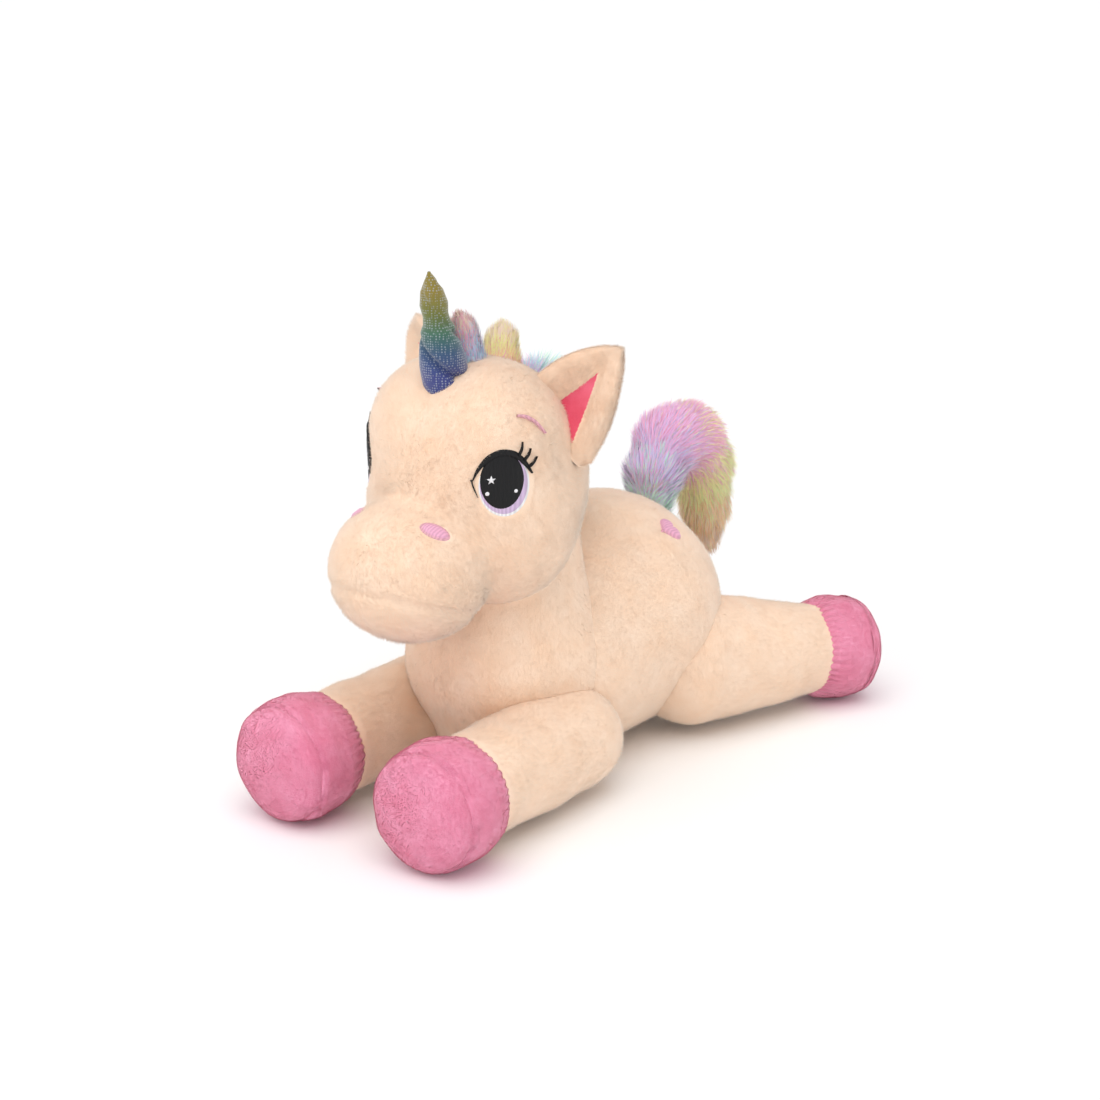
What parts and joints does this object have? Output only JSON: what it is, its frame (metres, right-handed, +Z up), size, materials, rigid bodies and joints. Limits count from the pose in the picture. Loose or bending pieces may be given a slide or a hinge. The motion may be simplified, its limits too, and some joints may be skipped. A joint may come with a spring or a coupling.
{
  "type": "plush unicorn",
  "caption": "Cream plush unicorn lying on its belly, with pink hooves, a soft twisted horn and a pastel rainbow mane and tail.",
  "frame": {"origin": "middle of the flattened belly, on the floor it lies on", "axes": "+Z up, the toy faces -Y, and its own left side is +X"},
  "size_m": [0.3258, 0.5158, 0.4002],
  "materials": {
    "cream_plush": "matte",
    "pink_plush": "matte",
    "coral_plush": "matte",
    "rainbow_pile": "matte",
    "horn_cloth": "satin",
    "dark_thread": "satin",
    "pink_thread": "satin",
    "stuffing_fibre": "matte"
  },
  "bodies": {
    "trunk": {"belly_panel": "cream_plush", "flank_mark_left": "pink_thread", "flank_mark_right": "pink_thread", "trunk_panel_left": "cream_plush", "trunk_panel_right": "cream_plush", "trunk_stuffing": "stuffing_fibre"},
    "head": {"brow_embroidery_left": "pink_thread", "brow_embroidery_right": "pink_thread", "eye_embroidery_left": "dark_thread", "eye_embroidery_right": "dark_thread", "forelock": "rainbow_pile", "head_gusset": "cream_plush", "head_panel_left": "cream_plush", "head_panel_right": "cream_plush", "head_stuffing": "stuffing_fibre", "mane_crest": "rainbow_pile", "muzzle_panel": "cream_plush", "nostril_embroidery_left": "pink_thread", "nostril_embroidery_right": "pink_thread"},
    "ear_left": {"ear_left": "cream_plush", "ear_lining_left": "coral_plush"},
    "ear_right": {"ear_lining_right": "coral_plush", "ear_right": "cream_plush"},
    "front_leg_left": {"front_hoof_band_left": "pink_plush", "front_hoof_sole_left": "pink_plush", "front_leg_cover_left": "cream_plush", "front_leg_stuffing_left": "stuffing_fibre"},
    "front_leg_right": {"front_hoof_band_right": "pink_plush", "front_hoof_sole_right": "pink_plush", "front_leg_cover_right": "cream_plush", "front_leg_stuffing_right": "stuffing_fibre"},
    "hind_leg_left": {"hind_hoof_band_left": "pink_plush", "hind_hoof_sole_left": "pink_plush", "hind_leg_cover_left": "cream_plush", "hind_leg_stuffing_left": "stuffing_fibre"},
    "hind_leg_right": {"hind_hoof_band_right": "pink_plush", "hind_hoof_sole_right": "pink_plush", "hind_leg_cover_right": "cream_plush", "hind_leg_stuffing_right": "stuffing_fibre"},
    "horn": {"horn_cover": "horn_cloth", "horn_stuffing": "stuffing_fibre"},
    "neck": {"neck_cover": "cream_plush", "neck_stuffing": "stuffing_fibre"},
    "tail": {"tail_cover": "rainbow_pile", "tail_stuffing": "stuffing_fibre"}
  },
  "joints": [
    {"name": "neck_turn", "type": "hinge", "parent": "trunk", "child": "neck", "pos_m": [0, -0.092, 0.128], "axis": [0, 0, 1], "range_deg": [-30, 30], "stiffness_Nm_per_rad": 1.5},
    {"name": "head_nod", "type": "hinge", "parent": "neck", "child": "head", "pos_m": [0, -0.092, 0.212], "axis": [1, 0, 0], "range_deg": [-14, 14], "stiffness_Nm_per_rad": 3, "springref_deg": -2.06},
    {"name": "horn_tilt", "type": "hinge", "parent": "head", "child": "horn", "pos_m": [0, -0.155, 0.306], "axis": [1, 0, 0], "range_deg": [-10, 10], "stiffness_Nm_per_rad": 0.3},
    {"name": "ear_fold_left", "type": "hinge", "parent": "head", "child": "ear_left", "pos_m": [0.036, -0.106, 0.318], "axis": [0.647, 0.1078, -0.7548], "range_deg": [-20, 20], "stiffness_Nm_per_rad": 0.12},
    {"name": "ear_fold_right", "type": "hinge", "parent": "head", "child": "ear_right", "pos_m": [-0.036, -0.106, 0.318], "axis": [0.647, -0.1078, 0.7548], "range_deg": [-20, 20], "stiffness_Nm_per_rad": 0.12},
    {"name": "front_leg_lift_left", "type": "hinge", "parent": "trunk", "child": "front_leg_left", "pos_m": [0.064, -0.098, 0.044], "axis": [-0.5, 0, 0.866], "range_deg": [0, 30], "stiffness_Nm_per_rad": 0.8},
    {"name": "front_leg_lift_right", "type": "hinge", "parent": "trunk", "child": "front_leg_right", "pos_m": [-0.064, -0.098, 0.044], "axis": [-0.5, 0, -0.866], "range_deg": [0, 30], "stiffness_Nm_per_rad": 0.8},
    {"name": "hind_leg_lift_left", "type": "hinge", "parent": "trunk", "child": "hind_leg_left", "pos_m": [0.064, 0.066, 0.058], "axis": [0.9084, -0.4181, 0], "range_deg": [0, 30], "stiffness_Nm_per_rad": 0.8},
    {"name": "hind_leg_lift_right", "type": "hinge", "parent": "trunk", "child": "hind_leg_right", "pos_m": [-0.064, 0.066, 0.058], "axis": [0.9084, 0.4181, 0], "range_deg": [0, 30], "stiffness_Nm_per_rad": 0.8},
    {"name": "tail_swing", "type": "hinge", "parent": "trunk", "child": "tail", "pos_m": [0, 0.096, 0.162], "axis": [1, 0, 0], "range_deg": [-14, 18], "stiffness_Nm_per_rad": 0.6, "springref_deg": 1.55}
  ]
}
